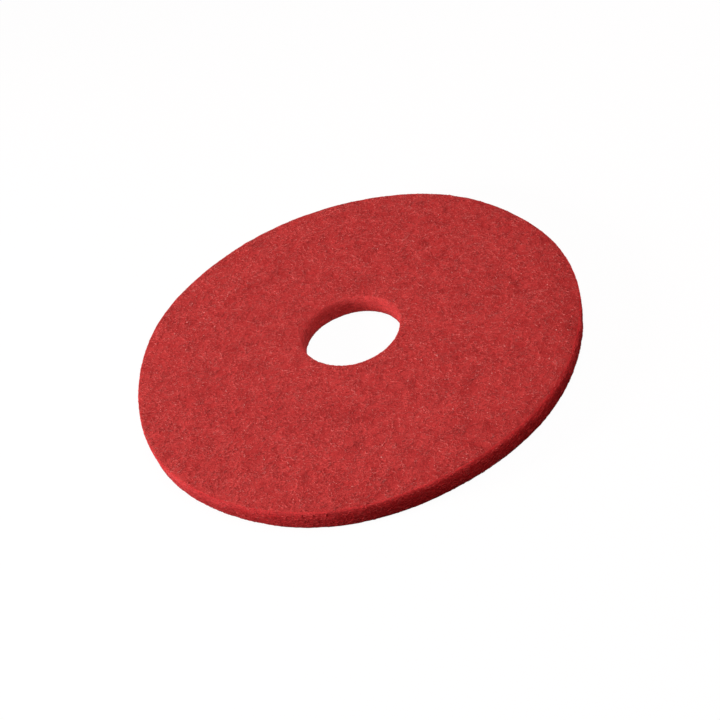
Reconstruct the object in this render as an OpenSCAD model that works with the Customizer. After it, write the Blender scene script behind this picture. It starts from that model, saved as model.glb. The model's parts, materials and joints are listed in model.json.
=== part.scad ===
// Round nonwoven floor pad for a rotary floor machine.
// One die-cut disc of resin-bonded crimped fibre, with a centre hole that
// slips over the centring collar of a pad driver. Both faces can be used.
// Millimetres. +Z up. Origin: on the hole axis, in the plane of the lower face.

/* [Pad] */
// Outside diameter of the disc (16 inch pad)
pad_d = 406; // [330:1:533]
// Thickness of the fibre web (3/4 inch)
pad_t = 19; // [12:0.5:26]
// Radius where each face rolls over into the rim
rim_round = 2; // [1:0.25:5]

/* [Centre hole] */
// Diameter of the die-cut centre hole (3.5 inch)
hole_d = 89; // [76:0.5:110]
// Radius where each face rolls over into the hole wall
hole_round = 2; // [0.5:0.25:4]

/* [Hidden] */

pad_r = pad_d / 2;
hole_r = hole_d / 2;
mid_r = (hole_r + pad_r) / 2;

// Radii from the axis to the centres of the corner arcs
hole_arc_r = hole_r + hole_round;
rim_arc_r = pad_r - rim_round;

disc_fn = 360;
corner_fn = 48;
pad_red = [0.69, 0.22, 0.21];

// Rectangle between two radii, held clear of both faces by inset.
module band(from_r, to_r, inset) {
    translate([from_r, inset])
        square([to_r - from_r, pad_t - 2 * inset]);
}

// Lower and upper corner circles, each touching its face.
module corner_pair(arc_r, round_r) {
    for (z = [round_r, pad_t - round_r])
        translate([arc_r, z])
            circle(r = round_r, $fn = corner_fn);
}

// Half-section of the disc, x = radius and y = height: a rectangle from the
// hole wall to the rim with its four corners rounded.
module disc_section() {
    // full-height middle, between the four corner arcs
    band(hole_arc_r, rim_arc_r, 0);
    // inner half, out to the hole wall between its arcs
    band(hole_r, mid_r, hole_round);
    // outer half, out to the rim between its arcs
    band(mid_r, pad_r, rim_round);
    corner_pair(hole_arc_r, hole_round);
    corner_pair(rim_arc_r, rim_round);
}

module nonwoven_pad() {
    color(pad_red)
        rotate_extrude($fn = disc_fn)
            disc_section();
}

nonwoven_pad();
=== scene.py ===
# A round nonwoven floor pad: a matted web of crimped, resin-bonded fibre with a hole at its centre.
# It lies flat, its axis on Z through the origin. The CAD disc gives its size. The web, its fibres,
# its die-cut ends and its resin specks are built here from seeded random numbers.
import json
import math
from collections import namedtuple
from types import SimpleNamespace

import bpy
import numpy as np
from mathutils import Matrix, Vector


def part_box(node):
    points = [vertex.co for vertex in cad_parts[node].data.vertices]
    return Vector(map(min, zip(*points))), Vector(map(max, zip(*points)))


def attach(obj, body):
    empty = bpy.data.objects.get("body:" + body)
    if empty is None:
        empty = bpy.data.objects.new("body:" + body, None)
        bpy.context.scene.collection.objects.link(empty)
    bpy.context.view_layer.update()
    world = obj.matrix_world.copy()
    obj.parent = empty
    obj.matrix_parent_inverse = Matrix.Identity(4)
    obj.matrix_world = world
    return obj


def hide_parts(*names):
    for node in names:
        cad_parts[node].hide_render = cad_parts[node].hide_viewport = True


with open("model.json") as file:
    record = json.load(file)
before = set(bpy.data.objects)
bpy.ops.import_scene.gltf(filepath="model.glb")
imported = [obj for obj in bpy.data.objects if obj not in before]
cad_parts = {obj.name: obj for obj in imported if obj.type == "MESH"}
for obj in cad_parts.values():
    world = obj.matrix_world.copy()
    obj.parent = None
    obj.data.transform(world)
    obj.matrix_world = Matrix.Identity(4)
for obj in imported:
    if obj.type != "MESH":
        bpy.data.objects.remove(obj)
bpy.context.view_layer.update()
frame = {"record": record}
pad_lo, pad_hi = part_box("nonwoven_pad")

# ---------------------------------------------------------------- sizes, in millimetres
MM = 0.001
TURN = 2 * math.pi
R_OUT = (pad_hi.x - pad_lo.x) / 2 / MM
THICK = (pad_hi.z - pad_lo.z) / MM
Z_BASE = pad_lo.z / MM
bore = next(mount for mount in frame["record"]["mounts"] if mount["name"] == "centre_hole")
R_IN = bore["dims"]["r_mm"]

# The die squeezes the web as it cuts, so each wall springs back as two quarter ellipses, with a
# bulge in between. The die enters from above, so the upper one is the larger.
# inset: how far the ellipse reaches in from the wall. drop: how far down or up from the face.
Shoulder = namedtuple("Shoulder", "inset drop")
# outward: +1 where the wall faces away from the axis. repeats: noise periods round the wall.
# waves: how the soft web strays from a circle, as order, cosine part and sine part.
Edge = namedtuple("Edge", "radius outward upper lower repeats waves")
RIM = Edge(
    radius=R_OUT,
    outward=1.0,
    upper=Shoulder(inset=1.3, drop=4.0),
    lower=Shoulder(inset=1.2, drop=3.0),
    repeats=3,
    waves=(
        (0, 0.30, 0.0), (2, 0.09, -0.01), (3, 0.48, 0.28), (4, -0.65, -0.32),
        (5, 0.31, -0.28), (6, -0.05, 0.28), (7, 0.44, -0.19),
    ),
)
HOLE = Edge(
    radius=R_IN,
    outward=-1.0,
    upper=Shoulder(inset=2.2, drop=6.5),
    lower=Shoulder(inset=1.6, drop=5.0),
    repeats=1,
    waves=((1, 0.19, 0.07), (2, 0.07, -0.96), (3, 0.08, 0.40), (4, 0.15, -0.03)),
)
SAG_DEPTH, SAG_REACH = 0.22, 4.0  # how the cut draws the faces together beside each edge

FACE_ROW_STEP = 2.05  # radial spacing of the web's rings of vertices
FINE_FROM_R = 102.0  # rings beyond this radius have the finer count
FINE_COUNT, COARSE_COUNT = 640, 320
FIBRE_STEP = 1.15  # between the points of a face fibre
WALL_FIBRE_STEP = 1.1

DENSITY = 1.0  # share of the fibres that is built

# ---------------------------------------------------------------- seeded noise fields
FIELD_MM, FIELD_N = 440.0, 1024  # one period, and the points along it


def field(seed, sigma_x, sigma_y=None):
    """A periodic random field of unit deviation, smoothed over sigma millimetres."""
    sigma_y = sigma_x if sigma_y is None else sigma_y
    white = np.random.default_rng(seed).standard_normal((FIELD_N, FIELD_N))
    freq = np.fft.fftfreq(FIELD_N, FIELD_MM / FIELD_N)
    blur_x = np.exp(-2 * (math.pi * sigma_x * freq) ** 2)
    blur_y = np.exp(-2 * (math.pi * sigma_y * freq) ** 2)
    out = np.fft.ifft2(np.fft.fft2(white) * blur_x[:, None] * blur_y[None, :]).real
    out -= out.mean()
    return out / out.std()


def sample(grid, along_x, along_y):
    """Reads a field at a place in millimetres, between its points."""
    place_x = (np.asarray(along_x) / FIELD_MM + 0.5) * FIELD_N
    place_y = (np.asarray(along_y) / FIELD_MM + 0.5) * FIELD_N
    i, j = np.floor(place_x).astype(int), np.floor(place_y).astype(int)
    part_x, part_y = place_x - i, place_y - j
    i0, i1, j0, j1 = i % FIELD_N, (i + 1) % FIELD_N, j % FIELD_N, (j + 1) % FIELD_N
    return (
        grid[i0, j0] * (1 - part_x) * (1 - part_y)
        + grid[i1, j0] * part_x * (1 - part_y)
        + grid[i0, j1] * (1 - part_x) * part_y
        + grid[i1, j1] * part_x * part_y
    )


swell = field(11, 14.0)  # slow unevenness of the web's loft
lump = field(12, 4.2, 5.0)  # tufts
pore = field(13, 2.1, 2.6)  # places where the web is thin
grain = field(14, 0.9)


def face_fields():
    """Two fields for the faces: their relief in millimetres, and how dark they are, which is mostly
    painted shade.
    """
    axis = (np.arange(FIELD_N) / FIELD_N - 0.5) * FIELD_MM
    grid_x, grid_y = np.meshgrid(axis, axis, indexing="ij")
    across = grid_x / R_OUT
    # the web is thinner towards +X, so it pits more there
    thinness = np.clip(0.62 + 0.42 * swell + 0.25 * lump + 0.60 * across, 0, 2.0)
    pits = np.clip(pore - 1.0, 0, 2.2) * thinness
    height = 0.14 * swell + 0.10 * lump + 0.06 * grain - 0.27 * pits
    # the darkness is painted shade: darker in the pits and low tufts, and towards +X, away from the
    # side lamp; where the web is thick it darkens a little at random
    dark = (
        0.75 * np.minimum(pits, 0.55)
        + 0.17 * np.clip(-lump, 0, 2)
        + 0.08 * np.clip(-pore, 0, 2)
        + 0.24 * np.clip(across, 0, 1)
    )
    # near the rim on that side it darkens in blotches: a broad zone round -35 degrees from +X,
    # and a narrow one round -18 degrees
    rim_zone = np.clip((np.hypot(grid_x, grid_y) - (R_OUT - 32.0)) / 26.0, 0, 1) ** 1.5
    angle = np.arctan2(grid_y, grid_x)
    broad = np.clip(np.cos(angle + math.radians(35.0)), 0, 1)
    narrow = np.exp(-(((angle + math.radians(18.0)) / math.radians(17.0)) ** 2))
    blotch = np.clip(1.0 + 0.45 * lump + 0.30 * swell + 0.25 * pore, 0.1, 2.2)
    dark = np.clip(dark + rim_zone * blotch * (0.20 * broad + 0.26 * narrow), 0, 1)
    return height, dark


FACE_HEIGHT, FACE_SHADE = face_fields()


# ---------------------------------------------------------------- the pad's form
def wall_uv(edge, angle, z):
    """Field coordinates for a point on a wall, so that the pattern closes on itself."""
    return angle / TURN * FIELD_MM * edge.repeats, z + 37.0 * edge.repeats


def wall_height(edge, angle, z):
    place = wall_uv(edge, angle, z)
    return 0.03 * sample(lump, *place) + 0.05 * sample(grain, *place) + 0.05 * sample(pore, *place)


def wobble(edge, angle):
    """How far the edge strays outside its circle."""
    out = np.zeros_like(angle)
    for order, cos_part, sin_part in edge.waves:
        out = out + cos_part * np.cos(order * angle) + sin_part * np.sin(order * angle)
    return out


def shift_radius(radius, angle, sign=1.0):
    """Moves a radius with the wobble of both edges, or back again if sign is -1."""
    share = np.clip((radius - R_IN) / (R_OUT - R_IN), 0, 1)
    share = share * share * (3 - 2 * share)
    return (
        radius + sign * wobble(RIM, angle) * share + sign * wobble(HOLE, angle) * (1 - share)
    )


def ellipse_drop(reach):
    """The fall of a unit quarter ellipse, from 0 at its start to 1 at its end."""
    return 1 - np.sqrt(np.maximum(1 - reach**2, 0))


def wall_inset(edge, z):
    """How far the wall lies back from its bulge at height z: most at the two faces."""
    up = np.clip((z - (THICK - edge.upper.drop)) / edge.upper.drop, 0, 1)
    down = np.clip((edge.lower.drop - z) / edge.lower.drop, 0, 1)
    return edge.upper.inset * ellipse_drop(up) + edge.lower.inset * ellipse_drop(down)


def wall_radius(edge, angle, z, lift=0.0):
    relief = wall_height(edge, angle, z) + lift - wall_inset(edge, z)
    return edge.radius + wobble(edge, angle) + edge.outward * relief


def sag(radius):
    """The cut pulls the faces together a little beside each edge."""
    from_rim = np.clip(R_OUT - radius, 0, 99)
    from_hole = np.clip(radius - R_IN, 0, 99)
    return SAG_DEPTH * np.exp(-from_rim / SAG_REACH) + SAG_DEPTH * np.exp(-from_hole / SAG_REACH)


def shoulders(upper):
    """The rim's and the hole's shoulder beside one face."""
    return (RIM.upper, HOLE.upper) if upper else (RIM.lower, HOLE.lower)


def edge_drop(radius, upper):
    """How far the face lies inside its own plane, close to the rim and to the hole."""
    rim, hole = shoulders(upper)
    at_rim = np.clip((radius - (R_OUT - rim.inset)) / rim.inset, 0, 1)
    at_hole = np.clip((R_IN + hole.inset - radius) / hole.inset, 0, 1)
    return rim.drop * ellipse_drop(at_rim) + hole.drop * ellipse_drop(at_hole) + sag(radius)


# ---------------------------------------------------------------- mesh helper
def build(name, verts, tris, uv, attributes, materials, quads=None, material_index=None):
    """A smooth mesh object, from millimetres. uv holds a pair for each corner, quads first."""
    mesh = bpy.data.meshes.new(name)
    quads = np.zeros((0, 4), np.int32) if quads is None else quads
    mesh.vertices.add(len(verts))
    mesh.vertices.foreach_set("co", (verts * MM).astype(np.float32).ravel())
    loops = np.concatenate([quads.ravel(), tris.ravel()]).astype(np.int32)
    starts = np.concatenate(
        [np.arange(len(quads)) * 4, len(quads) * 4 + np.arange(len(tris)) * 3]
    ).astype(np.int32)
    mesh.loops.add(len(loops))
    mesh.loops.foreach_set("vertex_index", loops)
    mesh.polygons.add(len(starts))
    mesh.polygons.foreach_set("loop_start", starts)
    mesh.polygons.foreach_set("use_smooth", np.full(len(starts), True))
    if material_index is not None:
        mesh.polygons.foreach_set("material_index", material_index.astype(np.int32))
    layer = mesh.uv_layers.new(name="OFBake")
    layer.data.foreach_set("uv", uv.astype(np.float32).ravel())
    for key, values in attributes.items():
        attribute = mesh.attributes.new(key, "FLOAT", "POINT")
        attribute.data.foreach_set("value", values.astype(np.float32))
    mesh.update(calc_edges=True)
    mesh.validate()
    obj = bpy.data.objects.new(name, mesh)
    bpy.context.scene.collection.objects.link(obj)
    for material in materials:
        mesh.materials.append(material)
    return obj


# ---------------------------------------------------------------- shader node helper
class Graph:
    """Short calls for the node tree of a material or world."""

    def __init__(self, owner):
        owner.use_nodes = True
        self.nodes, self.links = owner.node_tree.nodes, owner.node_tree.links

    def wire(self, target, inputs):
        """Gives each named or numbered input a value, or links it to an output socket."""
        for key, value in inputs.items():
            socket = target.inputs[key]
            if isinstance(value, bpy.types.NodeSocket):
                self.links.new(value, socket)
            elif socket.type == "RGBA":
                socket.default_value = (*value, 1.0)
            else:
                socket.default_value = value

    def add(self, kind, inputs=None, **settings):
        made = self.nodes.new("ShaderNode" + kind)
        for key, value in settings.items():
            setattr(made, key, value)
        self.wire(made, inputs or {})
        return made

    def math(self, operation, *values, clamp=False):
        inputs = dict(enumerate(values))
        return self.add("Math", inputs, operation=operation, use_clamp=clamp).outputs[0]

    def vector(self, operation, *values):
        return self.add("VectorMath", dict(enumerate(values)), operation=operation).outputs[0]

    def remap(self, value, span, to=(0.0, 1.0)):
        """Smoothly takes the span of values to another."""
        inputs = {"Value": value, "From Min": span[0], "From Max": span[1]}
        inputs.update({"To Min": to[0], "To Max": to[1]})
        made = self.add("MapRange", inputs, interpolation_type="SMOOTHSTEP")
        return made.outputs["Result"]

    def mix(self, amount, start, end):
        """The start colour, moved towards the end colour by the amount."""
        return self.add("Mix", {0: amount, 6: start, 7: end}, data_type="RGBA").outputs[2]

    def noise(self, coord, scale, detail=2.0, roughness=0.5, output="Fac"):
        inputs = {"Vector": coord, "Scale": scale, "Detail": detail, "Roughness": roughness}
        return self.add("TexNoise", inputs).outputs[output]

    def attribute(self, name):
        return self.add("Attribute", attribute_name=name).outputs["Fac"]

    def height_of(self, coord):
        return self.add("SeparateXYZ", {0: coord}).outputs["Z"]

    def by_camera(self, lit, seen):
        """One shader for the pad's light, another for what the camera sees."""
        is_camera = self.add("LightPath").outputs["Is Camera Ray"]
        return self.add("MixShader", {0: is_camera, 1: lit, 2: seen}).outputs[0]


def new_material(name):
    """A material, its graph, its main shader and its object coordinates."""
    material = bpy.data.materials.new(name)
    graph = Graph(material)
    coord = graph.add("TexCoord").outputs["Object"]
    return material, graph, graph.nodes["Principled BSDF"], coord


# ---------------------------------------------------------------- materials
# linear colours
# DEEP: a dark red, used as painted shade in the web's pores and pits, and as the fibres' own darker
# grains and blotches
DEEP = (0.18, 0.0030, 0.0042)
PALE = (0.82, 0.28, 0.25)
PAINTED_GLOW = (0.76, 0.105, 0.096)  # painted light: paler web beside a face, for the light that the open web lets in there
# heights in metres
TOP = (Z_BASE + THICK) * MM
BOTTOM = Z_BASE * MM

# How the web and its fibres look in each place. The cut walls are painted shade: deeper red, with
# less green, more dark specks and fewer pale beads than the faces, as the walls lie mostly in shade.
# The hole's colours are a little paler than the rim's: painted light, for the light that bounces
# round the hole. The walls' fibre ends fan out towards the nearer face, to catch its light.
# mid, lit: the main colours. web_dark: strength of the web's dark specks. beads: strength of the
# fibre's pale beads. fan: lean of the normals at the upper and lower face, or None on the faces
# themselves. depth: metres over which that fades. pale: share of PAINTED_GLOW at the face, painted
# light. full: painted light, a gain in brightness in the shoulder just below.
ON_FACE = SimpleNamespace(
    mid=(0.50, 0.0400, 0.0370), lit=(0.68, 0.085, 0.0765),
    web_specular=0.12, fibre_specular=0.25, web_dark=0.36, beads=0.68, fan=None,
)
ON_RIM = SimpleNamespace(
    mid=(0.50, 0.010, 0.014), lit=(0.67, 0.047, 0.047),
    web_specular=0.12, fibre_specular=0.18, web_dark=0.55, beads=0.30,
    fan=(1.1, 0.45), depth=0.0050, pale=0.11, full=0.21,
)
ON_HOLE = SimpleNamespace(
    mid=(0.52, 0.030, 0.030), lit=(0.68, 0.072, 0.068),
    web_specular=0.08, fibre_specular=0.12, web_dark=0.55, beads=0.30,
    fan=(1.3, 0.6), depth=0.0070, pale=0.16, full=0.08,
)


def web_lines(graph, coord, scale, bend, width, seed):
    """Crossing fibres: the walls between Voronoi cells, bent by noise. 1 on a fibre, 0 in a pore."""
    bending = graph.noise(coord, scale=scale * 0.55, detail=1.0, output="Color")
    moved = graph.vector("ADD", coord, (seed * 0.137, seed * 0.311, seed * 0.213))
    bent = graph.vector("MULTIPLY_ADD", bending, (bend / scale,) * 3, moved)
    inputs = {"Scale": scale, "Vector": bent}
    cells = graph.add("TexVoronoi", inputs, feature="DISTANCE_TO_EDGE")
    return graph.remap(cells.outputs["Distance"], span=(0.0, width), to=(1.0, 0.0))


def near_faces(graph, coord, depth):
    """Two factors, 1 at the upper and at the lower face, fading into the web."""
    z = graph.height_of(coord)
    above = graph.math("DIVIDE", graph.math("SUBTRACT", z, TOP), depth)
    below = graph.math("DIVIDE", graph.math("SUBTRACT", BOTTOM, z), depth)
    return graph.math("EXPONENT", above), graph.math("EXPONENT", below)


def fanned_normal(graph, above, below, fan):
    """The surface normal, leaning up near the upper face and down near the lower one."""
    fan_up = graph.math("MULTIPLY", above, fan[0])
    fan_down = graph.math("MULTIPLY", below, fan[1])
    lean = graph.add("CombineXYZ", {"Z": graph.math("SUBTRACT", fan_up, fan_down)}).outputs[0]
    normal = graph.add("NewGeometry").outputs["Normal"]
    return graph.vector("NORMALIZE", graph.vector("ADD", normal, lean))


def paint_face_light(graph, coord, above, below, base, look):
    """Painted light: paler web beside the faces, and a brighter shoulder below the upper one."""
    near = graph.math("ADD", above, below, clamp=True)
    base = graph.mix(graph.math("MULTIPLY", near, look.pale), base, PAINTED_GLOW)
    z = graph.height_of(coord)
    # painted light: a brighter band in the shoulder below the upper face, weaker right at its edge
    start = graph.remap(z, span=(TOP - 0.0015, TOP + 0.0005), to=(1.0, 0.35))
    stop = graph.remap(z, span=(TOP - 0.0095, TOP - 0.0040), to=(0.0, look.full))
    painted_gain = graph.math("MULTIPLY_ADD", start, stop, 1.0)
    return graph.add("VectorMath", {0: base, "Scale": painted_gain}, operation="SCALE").outputs[0]


def finish(graph, shader, coord, look, base, roughness, specular, bump):
    """Wires the main shader. bump holds the bump node's inputs."""
    bump = graph.add("Bump", bump)
    if look.fan:
        above, below = near_faces(graph, coord, look.depth)
        base = paint_face_light(graph, coord, above, below, base, look)
        graph.wire(bump, {"Normal": fanned_normal(graph, above, below, look.fan)})
    graph.wire(shader, {
        "Base Color": base,
        "Roughness": roughness,
        "Specular IOR Level": specular,
        "Normal": bump.outputs["Normal"],
    })


def web_material(name, look):
    """The matted web itself, seen between its surface fibres."""
    material, graph, shader, coord = new_material(name)
    coarse = web_lines(graph, coord, scale=820.0, bend=0.8, width=0.20, seed=1)
    fine = web_lines(graph, coord, scale=1350.0, bend=0.9, width=0.22, seed=5)
    finest = web_lines(graph, coord, scale=2300.0, bend=0.9, width=0.26, seed=9)
    lines = graph.math("MAXIMUM", coarse, graph.math("MULTIPLY", fine, 0.85))
    lines = graph.math("MAXIMUM", lines, graph.math("MULTIPLY", finest, 0.7))
    clump = graph.noise(coord, scale=95.0, detail=3.0, roughness=0.6)
    dark = graph.noise(coord, scale=900.0, detail=1.0)
    # painted shade: the pores between the fibres are DEEP, and the web darkens towards DEEP in its
    # pits and hollows
    shade_amount = graph.math("MULTIPLY", graph.attribute("painted_shade"), 0.5)
    base = graph.mix(lines, DEEP, look.mid)
    base = graph.mix(graph.remap(clump, span=(0.35, 0.68), to=(0.0, 0.25)), base, look.lit)
    base = graph.mix(graph.remap(dark, span=(0.35, 0.65), to=(0.0, look.web_dark)), base, DEEP)
    base = graph.mix(shade_amount, base, DEEP)
    finish(
        graph, shader, coord, look, base,
        roughness=graph.remap(lines, span=(0.0, 1.0), to=(0.92, 0.58)),
        specular=look.web_specular,
        bump={"Strength": 0.8, "Distance": 0.0003, "Height": lines},
    )
    return material


def fibre_material(name, look):
    """One crimped strand with its coat of resin, in grains about a millimetre long."""
    material, graph, shader, coord = new_material(name)
    tone = graph.attribute("tone")
    # painted shade: a strand darkens towards DEEP where it lies low in the web or in a pit
    shade_amount = graph.math("MULTIPLY", graph.attribute("painted_shade"), 0.5)
    blotch = graph.noise(coord, scale=60.0, detail=3.0, roughness=0.55)
    beads = graph.noise(coord, scale=700.0, detail=2.0, roughness=0.6)
    gaps = graph.noise(coord, scale=760.0, detail=1.0)
    base = graph.mix(graph.remap(tone, span=(0.0, 1.0), to=(0.25, 0.75)), look.mid, look.lit)
    base = graph.mix(graph.remap(blotch, span=(0.40, 0.75), to=(0.0, 0.35)), base, DEEP)
    base = graph.mix(graph.remap(gaps, span=(0.48, 0.72), to=(0.0, 0.82)), base, DEEP)
    base = graph.mix(graph.remap(beads, span=(0.50, 0.72), to=(0.0, look.beads)), base, PALE)
    base = graph.mix(shade_amount, base, DEEP)
    # a few whole strands are pale
    base = graph.mix(graph.remap(tone, span=(0.985, 1.0), to=(0.0, 0.45)), base, PALE)
    finish(
        graph, shader, coord, look, base,
        roughness=graph.remap(beads, span=(0.35, 0.75), to=(0.68, 0.38)),
        specular=look.fibre_specular,
        bump={"Strength": 0.35, "Distance": 0.0001, "Height": beads},
    )
    return material


def speck_material(name):
    """A bead of clear resin round a pale abrasive grain."""
    material, graph, shader, coord = new_material(name)
    mottle = graph.noise(coord, scale=1500.0)
    base = graph.mix(graph.attribute("tone"), (0.56, 0.085, 0.075), (0.80, 0.36, 0.32))
    pale = graph.remap(mottle, span=(0.4, 0.8), to=(0.0, 0.5))
    graph.wire(shader, {
        "Base Color": graph.mix(pale, base, (0.85, 0.55, 0.5)),
        "Roughness": graph.remap(mottle, span=(0.3, 0.7), to=(0.22, 0.45)),
        "Coat Weight": 0.5,
    })
    return material


WEB_MATERIALS = [
    web_material("fibre_web", ON_FACE),
    web_material("fibre_web_rim", ON_RIM),
    web_material("fibre_web_hole", ON_HOLE),
]
face_fibre = fibre_material("resin_coated_fibre", ON_FACE)
rim_fibre = fibre_material("cut_fibre", ON_RIM)
hole_fibre = fibre_material("hole_fibre", ON_HOLE)
resin_speck = speck_material("resin_speck")

# ---------------------------------------------------------------- the web: one closed body
UPPER_FACE, RIM_WALL, LOWER_FACE, HOLE_WALL = range(4)
# one ring of vertices: radius, height, outward normal, and the part it belongs to
Row = namedtuple("Row", "radius z normal_r normal_z part")


def face_radii(upper):
    rim, hole = shoulders(upper)
    start, end = R_IN + hole.inset, R_OUT - rim.inset
    return np.linspace(start, end, int(round((end - start) / FACE_ROW_STEP)) + 1)


def wall_rows(edge, part):
    """Rows down one wall, from the end of the upper face to the start of the lower one."""
    (up_inset, up_drop), (low_inset, low_drop) = edge.upper, edge.lower
    stations = []  # inset, height, and the two parts of the normal
    for turn in np.radians(np.arange(1, 9) * 11.25):  # round the upper shoulder, from the face
        sin, cos = math.sin(turn), math.cos(turn)
        stations.append(
            (up_inset * (1 - sin), THICK - up_drop * (1 - cos), sin / up_inset, cos / up_drop)
        )
    for z in np.linspace(THICK - up_drop, low_drop, 4)[1:-1]:
        stations.append((0.0, z, 1.0, 0.0))
    for turn in np.radians(np.arange(0, 6) * 15.0):
        sin, cos = math.sin(turn), math.cos(turn)
        stations.append(
            (low_inset * (1 - cos), low_drop * (1 - sin), cos / low_inset, -sin / low_drop)
        )
    rows = []
    for inset, z, normal_r, normal_z in stations:
        length = math.hypot(normal_r, normal_z)
        radius = edge.radius - edge.outward * inset
        rows.append(Row(radius, z, edge.outward * normal_r / length, normal_z / length, part))
    return rows


def web_rows():
    """Rows round the half-section: out over the top, down the rim, back below, up the hole."""
    rows = [Row(radius, THICK, 0.0, 1.0, UPPER_FACE) for radius in face_radii(True)]
    rows += wall_rows(RIM, RIM_WALL)
    rows += [Row(radius, 0.0, 0.0, -1.0, LOWER_FACE) for radius in face_radii(False)[::-1]]
    rows += wall_rows(HOLE, HOLE_WALL)[::-1]
    return rows


def row_points(row, count, rng):
    """The vertices of one ring, and the painted shade of the web at each."""
    angle = -math.pi + TURN * np.arange(count) / count
    is_face = row.part in (UPPER_FACE, LOWER_FACE)
    radius = row.radius + np.zeros(count)
    if is_face and R_IN + 4 < row.radius < R_OUT - 5:
        # clear of the edges the rings are uneven
        radius = radius + rng.uniform(-0.45, 0.45, count)
        angle = angle + rng.uniform(-0.3, 0.3, count) * 2 * math.pi / count
    radius = shift_radius(radius, angle)
    x, y = radius * np.cos(angle), radius * np.sin(angle)
    edge = HOLE if row.part == HOLE_WALL else RIM
    flat = abs(row.normal_z)
    relief = flat * sample(FACE_HEIGHT, x, y) + (1 - flat) * wall_height(edge, angle, row.z)
    radius = radius + relief * row.normal_r
    z = row.z + relief * row.normal_z - row.normal_z * float(sag(row.radius))
    # the pad's own weight presses the lower side flat
    z = np.where(z < -0.05, -0.05 + (z + 0.05) * 0.25, z)
    # painted shade: the faces darken in their pits and hollows, the walls in their dips
    if is_face:
        painted_shade = sample(FACE_SHADE, x, y)
    else:
        painted_shade = np.clip(-0.6 * sample(lump, *wall_uv(edge, angle, row.z)), 0, 1) * 0.5
    return np.stack([radius * np.cos(angle), radius * np.sin(angle), z + Z_BASE], 1), painted_shade


def web_faces(rows, counts):
    """Joins each ring to the next, with triangles where the count changes."""
    first = np.cumsum([0] + counts[:-1])
    quads, tris, quad_parts, tri_parts = [], [], [], []
    for here, row in enumerate(rows):
        after = (here + 1) % len(rows)
        part = row.part
        if rows[after].part != part:
            part = RIM_WALL if RIM_WALL in (part, rows[after].part) else HOLE_WALL
        count = min(counts[here], counts[after])
        j = np.arange(count)
        j1 = (j + 1) % count
        if counts[here] == counts[after]:
            start, end = first[here], first[after]
            quads.append(np.stack([start + j, end + j, end + j1, start + j1], 1))
            quad_parts.append(np.full(count, part))
            continue
        coarse_first = counts[here] < counts[after]
        coarse, fine = (first[here], first[after])[:: 1 if coarse_first else -1]
        c0, c1 = coarse + j, coarse + j1
        f0, f1, f2 = fine + 2 * j, fine + 2 * j + 1, fine + (2 * j + 2) % (2 * count)
        for one, two, three in ((c0, f0, f1), (c0, f1, c1), (c1, f1, f2)):
            corners = [one, two, three] if coarse_first else [two, one, three]
            tris.append(np.stack(corners, 1))
            tri_parts.append(np.full(count, part))
    return [np.concatenate(group) for group in (quads, tris, quad_parts, tri_parts)]


def web_uv(verts, faces, parts):
    """The two faces share one large disc, the rim lies in four strips, the hole wall in one."""
    x, y, z = np.moveaxis(verts[faces], -1, 0)
    z = z - Z_BASE
    angle = np.arctan2(y, x)
    middle = np.arctan2(y.mean(1), x.mean(1))[:, None]
    angle = middle + (angle - middle + math.pi) % TURN - math.pi
    around = (angle + math.pi) / TURN
    up = np.clip(z / THICK, -0.05, 1.05)
    disc = 2 * (R_OUT + 4)
    face_u = 0.5 + x / disc * 0.80
    face_v = 0.595 + y / disc * 0.80
    quarter = np.clip(np.floor((middle + math.pi) / TURN * 4), 0, 3)
    rim_u = 0.01 + 0.98 * (around * 4 - quarter)
    rim_v = 0.006 + quarter * 0.034 + 0.028 * up
    hole_u = 0.01 + 0.98 * around
    hole_v = 0.145 + 0.036 * up
    is_face = np.isin(parts, (UPPER_FACE, LOWER_FACE))[:, None]
    is_rim = (parts == RIM_WALL)[:, None]
    u = np.where(is_face, face_u, np.where(is_rim, rim_u, hole_u))
    v = np.where(is_face, face_v, np.where(is_rim, rim_v, hole_v))
    return np.stack([u, v], -1).reshape(-1, 2)


def web_body():
    rows = web_rows()
    rng = np.random.default_rng(5)
    counts = [FINE_COUNT if row.radius > FINE_FROM_R else COARSE_COUNT for row in rows]
    rings = [row_points(row, count, rng) for row, count in zip(rows, counts)]
    verts, painted_shade = (np.concatenate(group) for group in zip(*rings))
    quads, tris, quad_parts, tri_parts = web_faces(rows, counts)
    uv = np.concatenate([web_uv(verts, quads, quad_parts), web_uv(verts, tris, tri_parts)])
    parts = np.concatenate([quad_parts, tri_parts])
    slots = np.select([parts == RIM_WALL, parts == HOLE_WALL], [1, 2], 0)
    return build("pad_web", verts, tris, uv, {"painted_shade": painted_shade}, WEB_MATERIALS, quads, slots)


# ---------------------------------------------------------------- fibres
# Strands are built all together, in arrays of strands by points along the strand.
def unit(vectors):
    return vectors / np.maximum(np.linalg.norm(vectors, axis=2, keepdims=True), 1e-9)


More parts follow.
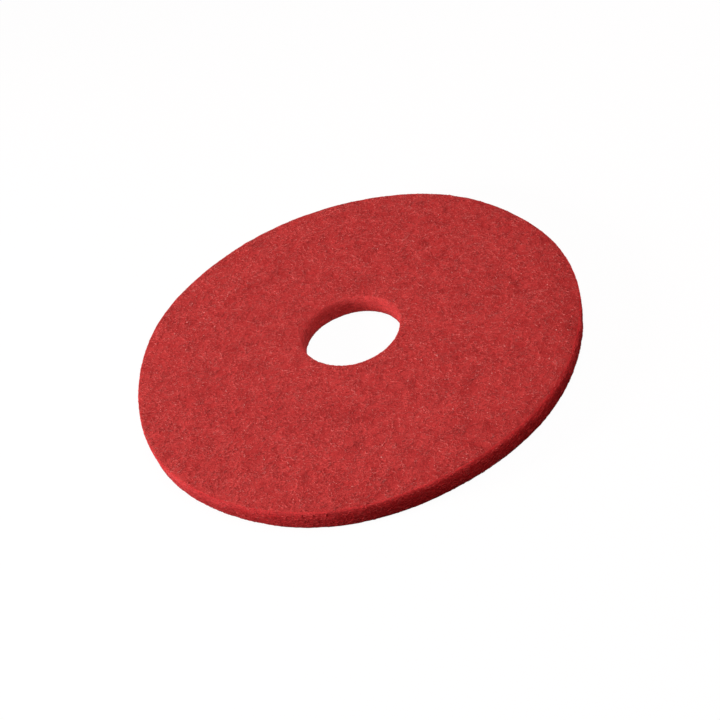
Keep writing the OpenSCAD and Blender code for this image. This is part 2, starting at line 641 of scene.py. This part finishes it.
def tubes(name, points, up, radius, first, last, tone, painted_shade, material):
    """Closed three-sided tubes. up points out of the surface. Points first to last are kept."""
    shown = last > first
    points, up, radius, first, last, tone, painted_shade = (
        values[shown] for values in (points, up, radius, first, last, tone, painted_shade)
    )
    n, m, _ = points.shape
    tangent = np.empty_like(points)
    tangent[:, 1:-1] = points[:, 2:] - points[:, :-2]
    tangent[:, 0] = points[:, 1] - points[:, 0]
    tangent[:, -1] = points[:, -1] - points[:, -2]
    tangent = unit(tangent)
    side = unit(np.cross(tangent, up))
    normal = np.cross(side, tangent)
    corner = np.radians([90.0, 210.0, 330.0])
    ring = points[:, :, None, :] + radius[:, :, None, None] * (
        np.cos(corner)[None, None, :, None] * side[:, :, None, :]
        + np.sin(corner)[None, None, :, None] * normal[:, :, None, :]
    )
    index = np.arange(n * m * 3).reshape(n, m, 3)
    j = np.arange(m - 1)[None, :]
    keep = (j >= first[:, None]) & (j < last[:, None])

    # each strand has its own UV cell, twice as long as it is high
    columns = int(math.ceil(math.sqrt(n * 0.5)))
    rows = int(math.ceil(n / columns))
    cell_u = (np.arange(n) % columns) / columns
    cell_v = (np.arange(n) // columns) / rows
    width, height = 0.92 / columns, 0.86 / rows

    def strip_u(step):
        return cell_u[:, None] + width * (0.04 + step / (m - 1)) / 1.04

    def strip_v(turn):
        return cell_v[:, None] + height * (0.06 + turn / 3) / 1.06

    quads, uvs = [], []
    u0, u1 = strip_u(j), strip_u(j + 1)
    for s in range(3):
        s1 = (s + 1) % 3
        ends = (index[:, :-1, s], index[:, 1:, s], index[:, 1:, s1], index[:, :-1, s1])
        quads.append(np.stack(ends, -1)[keep])
        v0, v1 = strip_v(s), strip_v(s + 1)
        places = ((u0, v0), (u1, v0), (u1, v1), (u0, v1))
        pairs = [np.stack(np.broadcast_arrays(*place), -1) for place in places]
        uvs.append(np.stack(pairs, 2)[keep].reshape(-1, 2))
    strand = np.arange(n)
    tris = np.concatenate([index[strand, first], index[strand, last][:, ::-1]])
    cap_uv = np.stack([cell_u + width * 0.02, cell_v + height * 0.02], 1)
    cap_uv = np.repeat(np.concatenate([cap_uv, cap_uv]), 3, axis=0)
    quads = np.concatenate(quads)

    used = np.zeros(n * m * 3, bool)
    used[quads.ravel()] = True
    used[tris.ravel()] = True
    renumber = np.cumsum(used) - 1
    attributes = {
        key: np.broadcast_to(values[..., None], (n, m, 3)).reshape(-1)[used]
        for key, values in (("tone", tone), ("painted_shade", painted_shade))
    }
    return build(
        name, ring.reshape(-1, 3)[used], renumber[tris], np.concatenate(uvs + [cap_uv]),
        attributes, [material], renumber[quads],
    )


def run_of(inside):
    """The first and last index of the run of true points through each row's middle."""
    n, m = inside.shape
    middle = m // 2
    ends = []
    for outwards in (range(middle - 1, -1, -1), range(middle + 1, m)):
        end = np.full(n, middle)
        going = inside[:, middle].copy()
        for j in outwards:
            going &= inside[:, j]
            end[going] = j
        ends.append(end)
    return ends


def each(rng, low, high, n):
    """One random value for each strand, as a column."""
    return rng.uniform(low, high, n)[:, None]


def wave(rng, along, n, shortest, longest):
    """A sine along each strand, of random wavelength and phase."""
    return np.sin(TURN * along / each(rng, shortest, longest, n) + each(rng, 0, 6.28, n))


def end_dive(m, flat, fade):
    """0 along a strand, rising to 1 at its ends. flat: half the share of its length at 0."""
    share = np.arange(m)[None, :] / (m - 1)
    return np.clip((np.abs(share - 0.5) - flat) / fade, 0, 1) ** 2


def strand_paths(rng, n, m):
    """Crimped plane curves: distance along each strand, and places relative to its middle."""
    along = (np.arange(m) - m // 2)[None, :] * FIBRE_STEP
    heading = each(rng, 0, math.pi, n)
    heading = heading + each(rng, 0.4, 1.2, n) * wave(rng, along, n, 4.2, 8.0)
    heading = heading + each(rng, -1.1, 1.1, n) * wave(rng, along, n, 18.0, 50.0)
    path = np.cumsum(FIBRE_STEP * np.stack([np.cos(heading), np.sin(heading)], -1), 1)
    path -= path[:, m // 2][:, None, :]
    return along, path


def face_fibres(name, seed, n, m, upper, layer):
    """Strands lying on one face. layer is their mean height above the web."""
    rng = np.random.default_rng(seed)
    start_r = np.sqrt(rng.uniform(R_IN**2, R_OUT**2, n))
    start_angle = rng.uniform(-math.pi, math.pi, n)
    along, path = strand_paths(rng, n, m)
    x = (start_r * np.cos(start_angle))[:, None] + path[..., 0]
    y = (start_r * np.sin(start_angle))[:, None] + path[..., 1]
    radius, angle = np.hypot(x, y), np.arctan2(y, x)
    rim_limit = R_OUT + wobble(RIM, angle) - 0.45
    hole_limit = R_IN + wobble(HOLE, angle) + 0.45
    first, last = run_of((radius < rim_limit) & (radius > hole_limit))
    rise = 0.20 * wave(rng, along, n, 6, 12)
    lift = each(rng, -0.15, 0.25, n) + layer + rise
    # the ends of a strand go down into the web; about one strand in seventeen stands proud
    free = each(rng, 0, 1, n) < 0.06
    lift = lift + np.where(free, 0.3, -0.75) * end_dive(m, flat=0.36, fade=0.14)
    plain_r = shift_radius(radius, angle, sign=-1.0)  # as in the section, to roll over the edges
    z = THICK + sample(FACE_HEIGHT, x, y) - edge_drop(plain_r, upper) + lift
    if not upper:
        # pressed flat, as the web is
        z = THICK - z
        z = np.where(z < -0.1, -0.1 + (z + 0.1) * 0.2, z)
    points = np.stack([x, y, z + Z_BASE], -1)
    up = np.zeros_like(points)
    up[..., 2] = 1.0 if upper else -1.0
    thickness = each(rng, 0.12, 0.21, n) * (1 + 0.12 * np.sin(along / each(rng, 1.5, 4, n)))
    tone = np.broadcast_to(each(rng, 0, 1, n), x.shape)
    # painted shade: strands lying lower in the web are darker
    painted_shade = sample(FACE_SHADE, x, y) * np.clip(1.0 - 1.6 * (lift - 0.05), 0.25, 1.0)
    return tubes(name, points, up, thickness, first, last, tone, painted_shade, face_fibre)


def wall_fibres(name, seed, n, edge, material):
    """Strands that lie in the web's own layers, so they run along the cut wall."""
    rng = np.random.default_rng(seed)
    m = 11
    along = (np.arange(m) - m // 2)[None, :] * WALL_FIBRE_STEP
    slope = rng.normal(0, 0.55, n)[:, None] + 0.75 * wave(rng, along, n, 4.5, 9)
    run = np.cumsum(WALL_FIBRE_STEP * np.cos(slope), 1)
    climb = np.cumsum(WALL_FIBRE_STEP * np.sin(slope), 1)
    run -= run[:, m // 2][:, None]
    climb -= climb[:, m // 2][:, None]
    angle = each(rng, -math.pi, math.pi, n) + run / edge.radius
    z = each(rng, 0.6, THICK - 0.6, n) + climb
    first, last = run_of((z > 0.35) & (z < THICK - 0.35))
    lift = each(rng, -0.06, 0.16, n) + 0.10 * wave(rng, along, n, 6, 11)
    lift = lift - 0.7 * end_dive(m, flat=0.30, fade=0.2)
    radius = wall_radius(edge, angle, z, lift)
    cos, sin = np.cos(angle), np.sin(angle)
    points = np.stack([radius * cos, radius * sin, z + Z_BASE], -1)
    up = np.stack([edge.outward * cos, edge.outward * sin, np.zeros_like(angle)], -1)
    thickness = np.broadcast_to(each(rng, 0.11, 0.18, n), angle.shape)
    tone = np.broadcast_to(each(rng, 0, 0.97, n), angle.shape)
    # painted shade: strands lying deeper in the wall are darker
    painted_shade = np.clip(0.35 - 0.8 * lift, 0, 0.7)
    return tubes(name, points, up, thickness, first, last, tone, painted_shade, material)


def cut_ends(name, seed, n_rim, n_hole):
    """Fibre ends left by the die, just proud of the rim and of the hole's wall."""
    rng = np.random.default_rng(seed)
    n, m = n_rim + n_hole, 3
    at_rim = np.arange(n) < n_rim
    angle0 = rng.uniform(-math.pi, math.pi, n)
    z0 = rng.uniform(0.9, THICK - 0.9, n)
    edge_radius = np.where(at_rim, R_OUT, R_IN)[:, None]
    outward = np.where(at_rim, RIM.outward, HOLE.outward)[:, None]
    surface = np.where(at_rim, wall_radius(RIM, angle0, z0), wall_radius(HOLE, angle0, z0))
    # how far each point stands out of the wall
    proud = np.stack([np.full(n, -1.3), np.full(n, -0.35), rng.uniform(0.02, 0.24, n)], 1)
    lean = each(rng, -0.9, 0.9, n)
    climb = each(rng, -0.35, 0.35, n)
    radius = surface[:, None] + outward * proud
    angle = angle0[:, None] + lean * proud / edge_radius
    z = np.clip(z0[:, None] + climb * proud, 0.4, THICK - 0.4)
    points = np.stack([radius * np.cos(angle), radius * np.sin(angle), z + Z_BASE], -1)
    up = np.zeros_like(points)
    up[..., 2] = 1.0
    thickness = np.broadcast_to(each(rng, 0.11, 0.19, n), (n, m))
    tone = np.broadcast_to(each(rng, 0, 0.985, n), (n, m))
    # painted shade: each end is darker where it lies inside the wall, and light at its tip
    painted_shade = np.broadcast_to(np.array([0.8, 0.4, 0.05])[None, :], (n, m))
    first, last = np.zeros(n, int), np.full(n, m - 1)
    return tubes(name, points, up, thickness, first, last, tone, painted_shade, rim_fibre)


# ---------------------------------------------------------------- resin specks
GOLD = (1 + 5**0.5) / 2
ICO_POINTS = np.array([
    (-1, GOLD, 0), (1, GOLD, 0), (-1, -GOLD, 0), (1, -GOLD, 0),
    (0, -1, GOLD), (0, 1, GOLD), (0, -1, -GOLD), (0, 1, -GOLD),
    (GOLD, 0, -1), (GOLD, 0, 1), (-GOLD, 0, -1), (-GOLD, 0, 1),
])
ICO_FACES = np.array([
    (0, 11, 5), (0, 5, 1), (0, 1, 7), (0, 7, 10), (0, 10, 11), (1, 5, 9), (5, 11, 4),
    (11, 10, 2), (10, 7, 6), (7, 1, 8), (3, 9, 4), (3, 4, 2), (3, 2, 6), (3, 6, 8),
    (3, 8, 9), (4, 9, 5), (2, 4, 11), (6, 2, 10), (8, 6, 7), (9, 8, 1),
])


def resin_specks(name, seed, n):
    """Beads of resin and abrasive, on both faces: lumpy twelve-pointed grains."""
    rng = np.random.default_rng(seed)
    radius = np.sqrt(rng.uniform((R_IN + 3) ** 2, (R_OUT - 4) ** 2, n))
    angle = rng.uniform(-math.pi, math.pi, n)
    x, y = radius * np.cos(angle), radius * np.sin(angle)
    upper = rng.uniform(0, 1, n) < 0.5
    size = 0.16 + 0.34 * rng.uniform(0, 1, n) ** 2.6
    z = THICK + sample(FACE_HEIGHT, x, y) - edge_drop(radius, True) + rng.uniform(0.05, 0.42, n)
    z = np.where(upper, z, np.maximum(THICK - z, 0.12)) + Z_BASE
    ball = ICO_POINTS / np.linalg.norm(ICO_POINTS[0])
    shape = ball[None] * rng.uniform(0.72, 1.22, (n, 12))[..., None] * size[:, None, None]
    shape = shape * rng.uniform(0.8, 1.3, (n, 1, 3))
    verts = (shape + np.stack([x, y, z], -1)[:, None, :]).reshape(-1, 3)
    tris = (ICO_FACES[None] + 12 * np.arange(n)[:, None, None]).reshape(-1, 3)
    # every triangle of a speck shares that speck's UV cell
    columns = int(math.ceil(math.sqrt(n)))
    cell = np.stack([np.arange(n) % columns, np.arange(n) // columns], 1) / columns
    corner = np.array([(0.1, 0.1), (0.8, 0.1), (0.45, 0.8)])[None, None] / columns
    uv = np.broadcast_to(cell[:, None, None, :] + corner, (n, 20, 3, 2)).reshape(-1, 2)
    tone = np.repeat(rng.uniform(0, 1, n) ** 1.5, 12)
    return build(name, verts, tris, uv, {"tone": tone}, [resin_speck])


# ---------------------------------------------------------------- the pad
body = web_body()
pieces = [body]
for k, layer in enumerate((-0.16, -0.08, 0.0, 0.05, 0.10)):
    # the deepest layer has fewer and longer strands, and the lower face lacks the highest one
    m = 13 if k else 22
    n = int((2750 if k else 1500) * DENSITY)
    pieces.append(face_fibres(f"upper_face_fibres_{k + 1}", 101 + k, n, m, True, layer))
    if k < 4:
        n = int((2650 if k else 1500) * DENSITY)
        pieces.append(face_fibres(f"lower_face_fibres_{k + 1}", 201 + k, n, m, False, layer))
pieces.append(wall_fibres("rim_fibres", 301, int(3000 * DENSITY), RIM, rim_fibre))
pieces.append(wall_fibres("hole_fibres", 302, int(680 * DENSITY), HOLE, hole_fibre))
pieces.append(cut_ends("cut_fibre_ends", 303, int(6500 * DENSITY), int(1400 * DENSITY)))
pieces.append(resin_specks("resin_specks", 304, 1500))
for piece in pieces:
    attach(piece, "root")
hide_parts("nonwoven_pad")

# ---------------------------------------------------------------- floor, world, lights, camera
scene = bpy.context.scene
scene.view_settings.view_transform = "Standard"
scene.view_settings.look = "None"
scene.view_settings.exposure = 0.0
WHITE = (1, 1, 1)


def floor_material():
    """A white sweep to the camera, and plain paper to the pad."""
    material = bpy.data.materials.new("pale_floor")
    graph = Graph(material)
    graph.nodes.clear()
    output = graph.add("OutputMaterial")
    paper = graph.add("BsdfDiffuse", {"Color": (0.80, 0.80, 0.80)}).outputs[0]
    white = graph.add("Emission", {"Color": WHITE, "Strength": 1.0}).outputs[0]
    # overexposed, with a trace of shadow
    sweep = graph.add("MixShader", {0: 0.955, 1: paper, 2: white}).outputs[0]
    # the paper inside the hole throws light up its wall; outside, little comes back
    position = graph.add("NewGeometry").outputs["Position"]
    away = graph.add("VectorMath", {0: position}, operation="LENGTH").outputs["Value"]
    inside = graph.math("LESS_THAN", away, R_IN * MM)
    colour = graph.mix(inside, (0.12, 0.07, 0.08), (0.80, 0.70, 0.70))
    dull = graph.add("BsdfDiffuse", {"Color": colour}).outputs[0]
    graph.wire(output, {"Surface": graph.by_camera(lit=dull, seen=sweep)})
    return material


def studio_world():
    """A faint red fill, with white behind the floor's far edge for the camera."""
    world = bpy.data.worlds.new("studio")
    graph = Graph(world)
    fill = graph.nodes["Background"]
    graph.wire(fill, {"Color": (1.0, 0.15, 0.20), "Strength": 0.23})
    backdrop = graph.add("Background", {"Color": WHITE, "Strength": 1.0}).outputs[0]
    surface = graph.by_camera(lit=fill.outputs[0], seen=backdrop)
    graph.wire(graph.nodes["World Output"], {"Surface": surface})
    return world


def softbox(name, azimuth, elevation, distance, size, irradiance):
    """A round lamp aimed at the origin. irradiance is what a surface square to it gets there."""
    data = bpy.data.lights.new(name, "AREA")
    data.shape, data.size = "DISK", size
    data.energy = irradiance * math.pi * distance**2
    lamp = bpy.data.objects.new(name, data)
    turn, rise = math.radians(azimuth), math.radians(elevation)
    aim = Vector(
        (math.cos(turn) * math.cos(rise), math.sin(turn) * math.cos(rise), math.sin(rise))
    )
    lamp.location = aim * distance
    lamp.rotation_mode = "QUATERNION"
    lamp.rotation_quaternion = aim.to_track_quat("Z", "Y")
    scene.collection.objects.link(lamp)


def add_camera():
    data = bpy.data.cameras.new("camera")
    data.sensor_width, data.lens = 36.0, 50.683
    data.clip_start, data.clip_end = 0.01, 50.0
    camera = bpy.data.objects.new("camera", data)
    scene.collection.objects.link(camera)
    # columns: the camera's right, up and backward directions, and its place in metres
    camera.matrix_world = Matrix((
        (0.94320670, 0.33220598, 0.00054704, 0.0),
        (-0.21902558, 0.62309879, -0.75084998, -0.70059),
        (-0.24977772, 0.70808692, 0.66047257, 0.59689),
        (0.0, 0.0, 0.0, 1.0),
    ))
    scene.camera = camera


lowest = min(float(np.array(piece.bound_box)[:, 2].min()) for piece in pieces)
bpy.ops.mesh.primitive_plane_add(size=16.0, location=(0, 0, lowest - 0.0001))
floor = bpy.context.object
floor.name = "floor"
floor.data.materials.append(floor_material())
scene.world = studio_world()
softbox("side_light", azimuth=180.0, elevation=14.5, distance=2.0, size=0.60, irradiance=4.75)
softbox("top_light", azimuth=-45.0, elevation=78.0, distance=2.2, size=2.0, irradiance=3.28)
add_camera()
